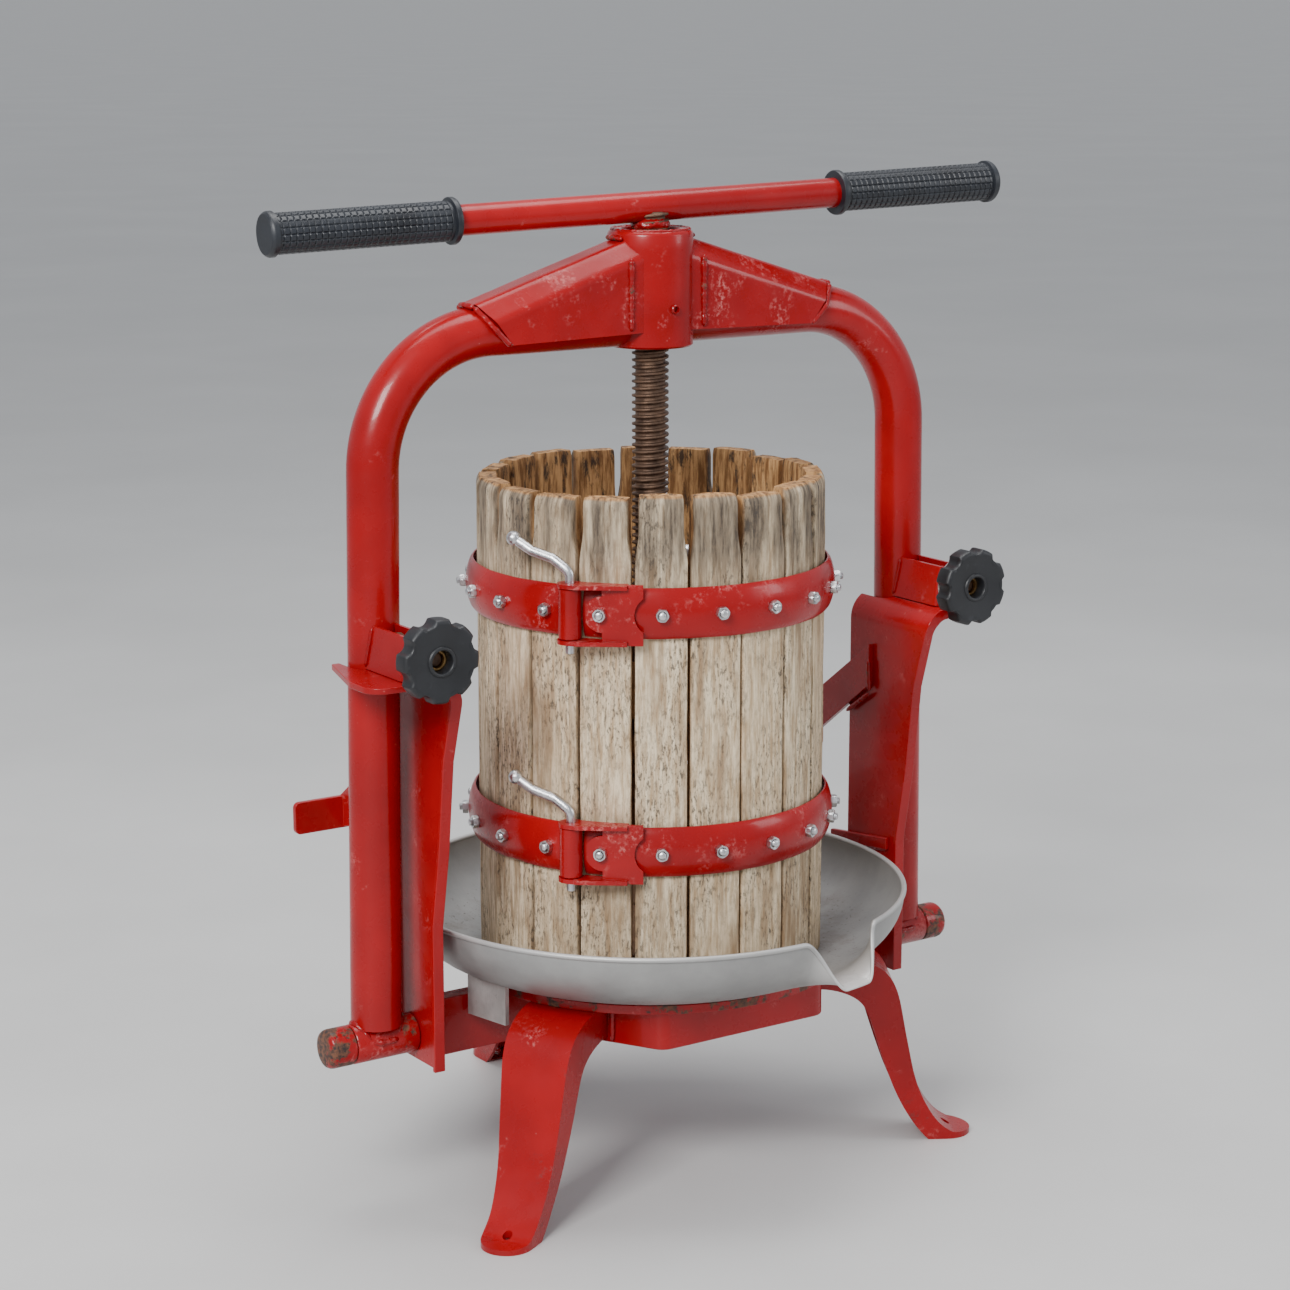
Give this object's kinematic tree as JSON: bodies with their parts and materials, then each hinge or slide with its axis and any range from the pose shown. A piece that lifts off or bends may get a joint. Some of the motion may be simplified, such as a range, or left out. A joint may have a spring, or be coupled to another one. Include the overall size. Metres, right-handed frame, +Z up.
{
  "type": "basket wine press",
  "caption": "Tilting-yoke basket wine press: slatted wooden basket in split red hoops on a steel tray, central screw with cross handle, splayed legs.",
  "frame": {"origin": "the point on the floor under the screw, at the centre of the ring of foot holes", "axes": "+Z up along the screw; +X along the yoke from its left arm to its right arm; -Y is the front, where the tray pours"},
  "size_m": [0.6946, 0.5223, 0.8534],
  "materials": {
    "stave_wood": "bare oak, worn",
    "board_wood": "bare oak, stained",
    "frame_paint": "gloss red, chipped",
    "yoke_paint": "gloss red, chipped",
    "hoop_paint": "gloss red, scuffed",
    "clamp_paint": "gloss red, scuffed",
    "cap_paint": "red with rusty patches",
    "disc_paint": "red with a bare rusty edge",
    "tray_steel": "satin, stained",
    "zinc": "zinc plated",
    "screw_steel": "oiled, rusty",
    "bar_paint": "gloss red",
    "grip_rubber": "matte black",
    "knob_plastic": "charcoal",
    "brass": "dull"
  },
  "bodies": {
    "base": {"base_beam": "frame_paint", "base_skirt_front": "frame_paint", "base_skirt_back": "frame_paint", "leg_left": "frame_paint", "leg_right": "frame_paint", "leg_back": "frame_paint", "post_left": "frame_paint", "post_right": "frame_paint", "stop_arm_left": "frame_paint", "stop_arm_right": "frame_paint", "side_rail_left": "frame_paint", "side_rail_right": "frame_paint", "base_disc": "disc_paint", "pivot_pins": "cap_paint"},
    "yoke": {"yoke_arm_left": "yoke_paint", "yoke_arm_right": "yoke_paint", "pivot_sleeve_left": "cap_paint", "pivot_sleeve_right": "cap_paint", "hub": "yoke_paint", "hub_nut": "brass", "nut_lock_screw": "zinc", "gusset_left": "yoke_paint", "gusset_right": "yoke_paint", "lock_bracket_left": "yoke_paint", "lock_bracket_right": "yoke_paint", "lock_pins": "zinc"},
    "foot": {"thrust_foot": "screw_steel"},
    "spindle": {"screw": "screw_steel", "handle_bar": "bar_paint", "hand_grip_left": "grip_rubber", "hand_grip_right": "grip_rubber"},
    "tray_body": {"tray": "tray_steel", "tray_lugs": "tray_steel"},
    "basket": {"staves_front": "stave_wood", "staves_back": "stave_wood", "hoop_bolts": "zinc", "hoop_nuts": "zinc", "hoop_upper_front": "hoop_paint", "hoop_upper_back": "hoop_paint", "hoop_lower_front": "hoop_paint", "hoop_lower_back": "hoop_paint", "hoop_clamp_upper_front": "clamp_paint", "hoop_clamp_upper_back": "clamp_paint", "hoop_clamp_lower_front": "clamp_paint", "hoop_clamp_lower_back": "clamp_paint"},
    "board_left": {"press_board_left": "board_wood"},
    "board_right": {"press_board_right": "board_wood"},
    "swing_bolt_left": {"lock_bolt_left": "zinc"},
    "washer_left": {"lock_washer_left": "zinc"},
    "knob_left": {"lock_knob_left": "knob_plastic", "knob_insert_left": "brass"},
    "swing_bolt_right": {"lock_bolt_right": "zinc"},
    "washer_right": {"lock_washer_right": "zinc"},
    "knob_right": {"lock_knob_right": "knob_plastic", "knob_insert_right": "brass"},
    "hoop_pin_upper_front": {"hoop_pin_upper_front": "zinc"},
    "hoop_pin_upper_back": {"hoop_pin_upper_back": "zinc"},
    "hoop_pin_lower_front": {"hoop_pin_lower_front": "zinc"},
    "hoop_pin_lower_back": {"hoop_pin_lower_back": "zinc"}
  },
  "joints": [
    {"name": "yoke_swing", "type": "hinge", "parent": "base", "child": "yoke", "pos_m": [0, 0, 0.147], "axis": [-1, 0, 0], "range_deg": [0, 8]},
    {"name": "foot_lift", "type": "slide", "parent": "yoke", "child": "foot", "axis": [0, 0, 1], "range_m": [0, 0.2]},
    {"name": "screw_turn", "type": "hinge", "parent": "foot", "child": "spindle", "pos_m": [0, 0, 0.47], "axis": [0, 0, 1], "range_deg": [0, 12000]},
    {"name": "tray_lift", "type": "slide", "parent": "base", "child": "tray_body", "axis": [0, 0, 1], "range_m": [0, 0.015]},
    {"name": "basket_lift", "type": "slide", "parent": "tray_body", "child": "basket", "axis": [0, 0, 1], "range_m": [0, 0.04]},
    {"name": "board_lift_left", "type": "slide", "parent": "tray_body", "child": "board_left", "axis": [0, 0, 1], "range_m": [0, 0.2]},
    {"name": "board_lift_right", "type": "slide", "parent": "tray_body", "child": "board_right", "axis": [0, 0, 1], "range_m": [0, 0.2]},
    {"name": "lock_bolt_swing_left", "type": "hinge", "parent": "yoke", "child": "swing_bolt_left", "pos_m": [-0.27, -0.033, 0.488], "axis": [-1, 0, 0], "range_deg": [0, 64]},
    {"name": "knob_slide_left", "type": "slide", "parent": "swing_bolt_left", "child": "washer_left", "axis": [0, -1, 0], "range_m": [0, 0.00875]},
    {"name": "knob_turn_left", "type": "hinge", "parent": "washer_left", "child": "knob_left", "pos_m": [-0.27, -0.1, 0.488], "axis": [0, -1, 0], "range_deg": [0, 1800]},
    {"name": "lock_bolt_swing_right", "type": "hinge", "parent": "yoke", "child": "swing_bolt_right", "pos_m": [0.27, -0.033, 0.488], "axis": [-1, 0, 0], "range_deg": [0, 64]},
    {"name": "knob_slide_right", "type": "slide", "parent": "swing_bolt_right", "child": "washer_right", "axis": [0, -1, 0], "range_m": [0, 0.00875]},
    {"name": "knob_turn_right", "type": "hinge", "parent": "washer_right", "child": "knob_right", "pos_m": [0.27, -0.1, 0.488], "axis": [0, -1, 0], "range_deg": [0, 1800]},
    {"name": "pin_lift_upper_front", "type": "slide", "parent": "basket", "child": "hoop_pin_upper_front", "axis": [0, 0, 1], "range_m": [0, 0.06]},
    {"name": "pin_lift_upper_back", "type": "slide", "parent": "basket", "child": "hoop_pin_upper_back", "axis": [0, 0, 1], "range_m": [0, 0.06]},
    {"name": "pin_lift_lower_front", "type": "slide", "parent": "basket", "child": "hoop_pin_lower_front", "axis": [0, 0, 1], "range_m": [0, 0.06]},
    {"name": "pin_lift_lower_back", "type": "slide", "parent": "basket", "child": "hoop_pin_lower_back", "axis": [0, 0, 1], "range_m": [0, 0.06]}
  ],
  "couplings": [
    {"joint": "foot_lift", "follows": "screw_turn", "m_per_rad": 0.00095493},
    {"joint": "lock_bolt_swing_left", "follows": "yoke_swing", "ratio": 8},
    {"joint": "knob_slide_left", "follows": "knob_turn_left", "m_per_rad": 0.00027852},
    {"joint": "lock_bolt_swing_right", "follows": "yoke_swing", "ratio": 8},
    {"joint": "knob_slide_right", "follows": "knob_turn_right", "m_per_rad": 0.00027852}
  ]
}
